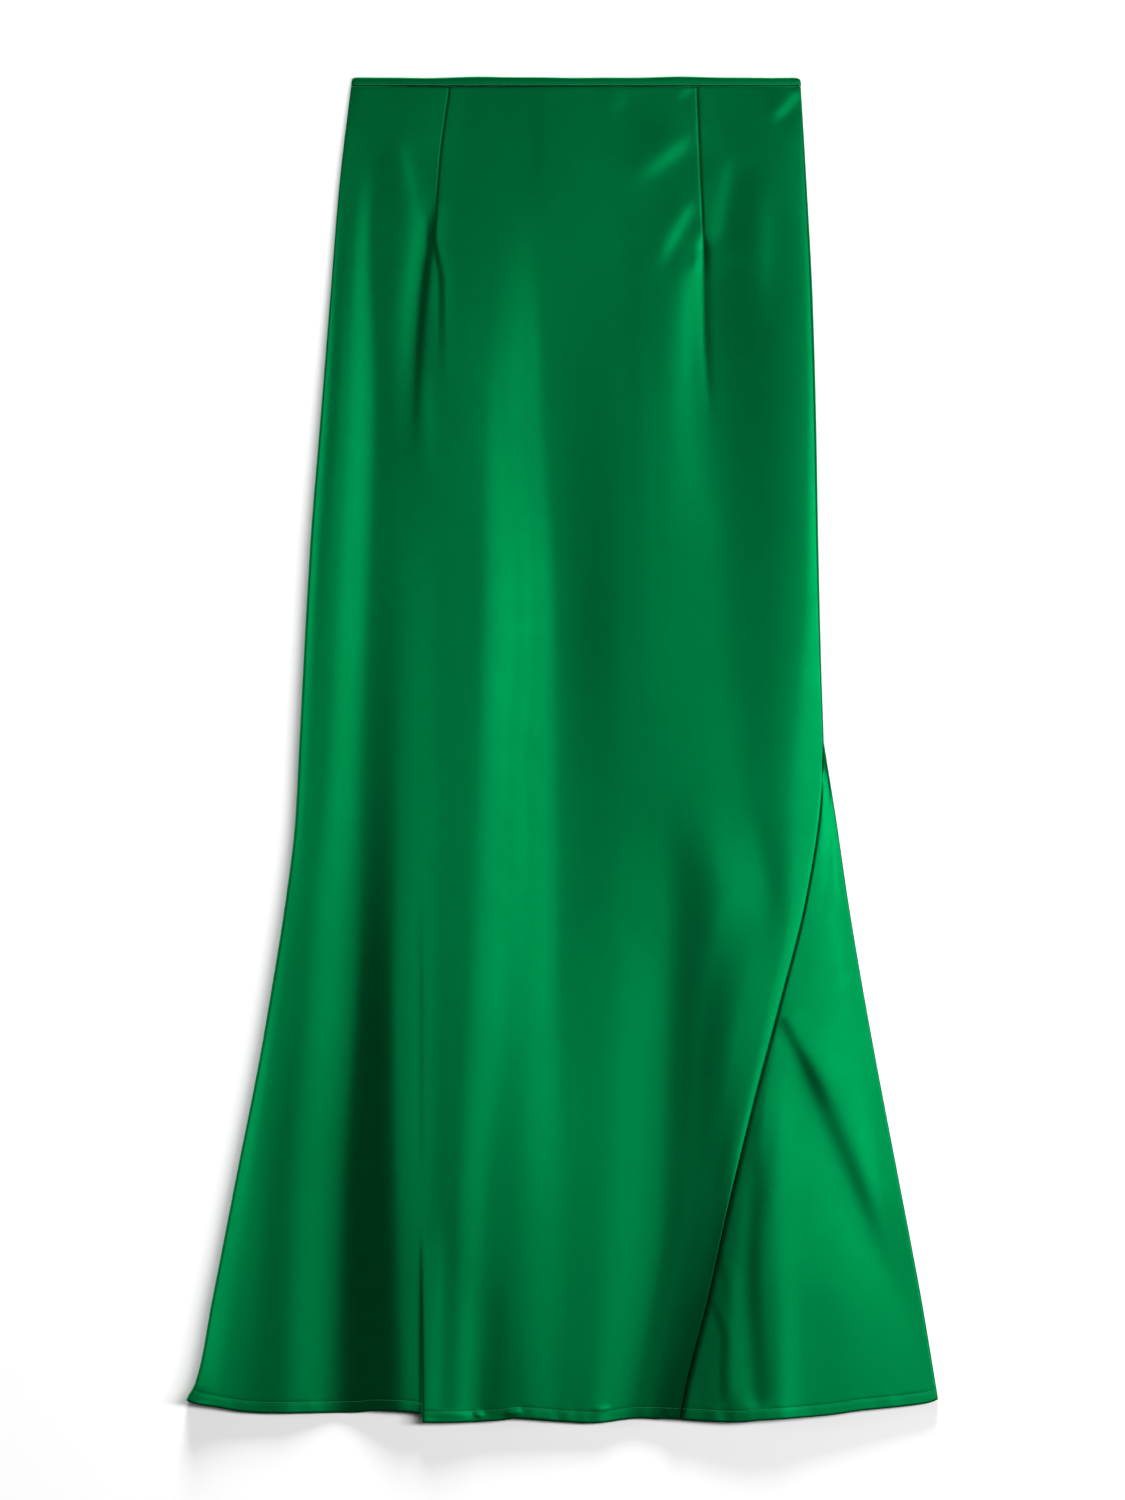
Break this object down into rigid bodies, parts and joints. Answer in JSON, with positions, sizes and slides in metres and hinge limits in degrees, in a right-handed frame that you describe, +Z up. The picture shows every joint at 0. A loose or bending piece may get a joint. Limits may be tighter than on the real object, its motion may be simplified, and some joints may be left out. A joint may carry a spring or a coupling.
{
  "type": "bias cut skirt laid flat",
  "caption": "Long bias cut skirt of satin, laid flat and face up, with waist darts, soft folds, a hem pleat and a flare insert at one side seam.",
  "frame": {"origin": "bottom centre of the whole skirt's box, on the surface that it lies on", "axes": "+Z up from the surface, +Y towards the waist, +X to the right of someone who looks down at it with the waist at the top, which is the wearer's left"},
  "size_m": [0.5414, 0.969, 0.0165],
  "materials": {
    "satin": "smooth satin with a soft, wide sheen",
    "binding": "the same satin, folded and edge stitched"
  },
  "bodies": {
    "root": {"back_panel": "satin", "front_panel": "satin", "flare_insert": "satin", "waist_binding": "binding"}
  },
  "joints": []
}
